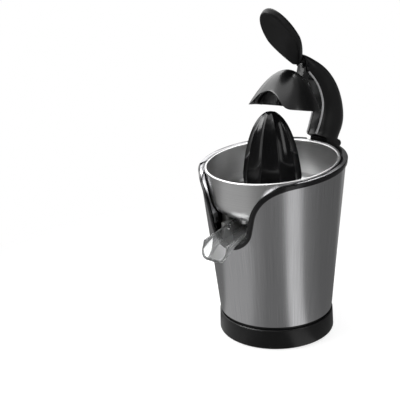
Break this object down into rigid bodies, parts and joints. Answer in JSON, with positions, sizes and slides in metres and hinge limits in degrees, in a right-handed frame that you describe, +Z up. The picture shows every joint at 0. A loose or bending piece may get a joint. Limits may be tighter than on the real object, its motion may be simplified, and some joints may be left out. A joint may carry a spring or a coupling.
{
  "type": "electric citrus press",
  "caption": "Electric citrus press with a tapered steel body on a black base, a fluted reamer in a steel juice bowl, a clear tilting spout, and a hinged lever arm with palm rest and press cup.",
  "frame": {"origin": "middle of the base on the table, under the reamer's axis", "axes": "+Z up along the reamer's axis, -Y to the spout at the front, +Y to the lever arm's hinge at the back, +X to the right hand of the press"},
  "size_m": [0.1652, 0.2313, 0.3635],
  "materials": {
    "satin_black": "satin moulded",
    "gloss_black": "glossy moulded",
    "dark_plastic": "plain moulded",
    "white_plastic": "plain moulded",
    "clear_plastic": "clear",
    "brushed_steel": "brushed upwards",
    "polished_steel": "polished",
    "zinc_steel": "zinc plated",
    "core_iron": "laminated",
    "copper_wire": "enamelled wire",
    "bronze": "sintered",
    "rubber": "matte"
  },
  "bodies": {
    "frame": {"base_ring": "satin_black", "base_plate": "dark_plastic", "rubber_feet": "rubber", "base_screws": "zinc_steel", "cord_gland": "rubber", "outer_shell": "brushed_steel", "edge_trim": "gloss_black", "notch_liner": "polished_steel", "collar_left": "polished_steel", "collar_right": "polished_steel", "juice_bowl": "brushed_steel", "strainer": "brushed_steel", "return_spring": "zinc_steel", "micro_switch": "dark_plastic", "idler_axle": "zinc_steel", "chassis": "dark_plastic", "chassis_screws": "zinc_steel", "gear_plate": "zinc_steel", "gear_deck": "dark_plastic", "deck_screws": "zinc_steel", "shaft_bush": "bronze", "shaft_seal": "rubber", "bowl_support": "white_plastic", "stator": "core_iron", "field_coils": "copper_wire", "motor_lower_bracket": "dark_plastic", "motor_upper_bracket": "dark_plastic", "motor_bushes": "bronze", "motor_screws": "zinc_steel", "hinge_bracket": "satin_black", "bracket_screws": "zinc_steel", "hinge_pin": "polished_steel", "hinge_washers": "white_plastic"},
    "arm": {"lever_arm": "satin_black", "cup_pin": "zinc_steel", "palm_rest": "satin_black"},
    "cup": {"press_cup": "gloss_black"},
    "carriage": {"thrust_cup": "white_plastic"},
    "drive": {"drive_shaft": "zinc_steel", "reamer_cone": "gloss_black", "output_gear": "white_plastic"},
    "idler": {"idler_gear": "white_plastic"},
    "rotor": {"motor_shaft": "zinc_steel", "rotor_core": "core_iron", "cooling_fan": "dark_plastic"},
    "plunger": {"switch_plunger": "white_plastic"},
    "spout": {"spout": "clear_plastic"}
  },
  "joints": [
    {"name": "arm_hinge", "type": "hinge", "parent": "frame", "child": "arm", "pos_m": [0, 0.088, 0.18], "axis": [-1, 0, 0], "range_deg": [-16, 55]},
    {"name": "cup_pivot", "type": "hinge", "parent": "arm", "child": "cup", "pos_m": [0, 0.06, 0.296], "axis": [-1, 0, 0], "range_deg": [-4, 8]},
    {"name": "press_travel", "type": "slide", "parent": "frame", "child": "carriage", "axis": [0, 0, -1], "range_m": [0, 0.003], "stiffness_N_per_m": 2000, "springref_m": -0.006, "deforming": ["return_spring"]},
    {"name": "drive_spin", "type": "hinge", "parent": "carriage", "child": "drive", "pos_m": [0, 0, 0.164], "axis": [0, 0, 1], "continuous": true},
    {"name": "idler_spin", "type": "hinge", "parent": "frame", "child": "idler", "pos_m": [0, 0.0324, 0.09], "axis": [0, 0, 1], "continuous": true},
    {"name": "rotor_spin", "type": "hinge", "parent": "frame", "child": "rotor", "pos_m": [0, 0.0072, 0.05], "axis": [0, 0, 1], "continuous": true},
    {"name": "plunger_slide", "type": "slide", "parent": "frame", "child": "plunger", "axis": [0, 0, -1], "range_m": [0, 0.003]},
    {"name": "spout_tilt", "type": "hinge", "parent": "frame", "child": "spout", "pos_m": [0, -0.056, 0.134], "axis": [-1, 0, 0], "range_deg": [0, 22]}
  ],
  "couplings": [
    {"joint": "idler_spin", "follows": "drive_spin", "ratio": -5},
    {"joint": "rotor_spin", "follows": "drive_spin", "ratio": 25},
    {"joint": "plunger_slide", "follows": "press_travel", "ratio": 1}
  ]
}
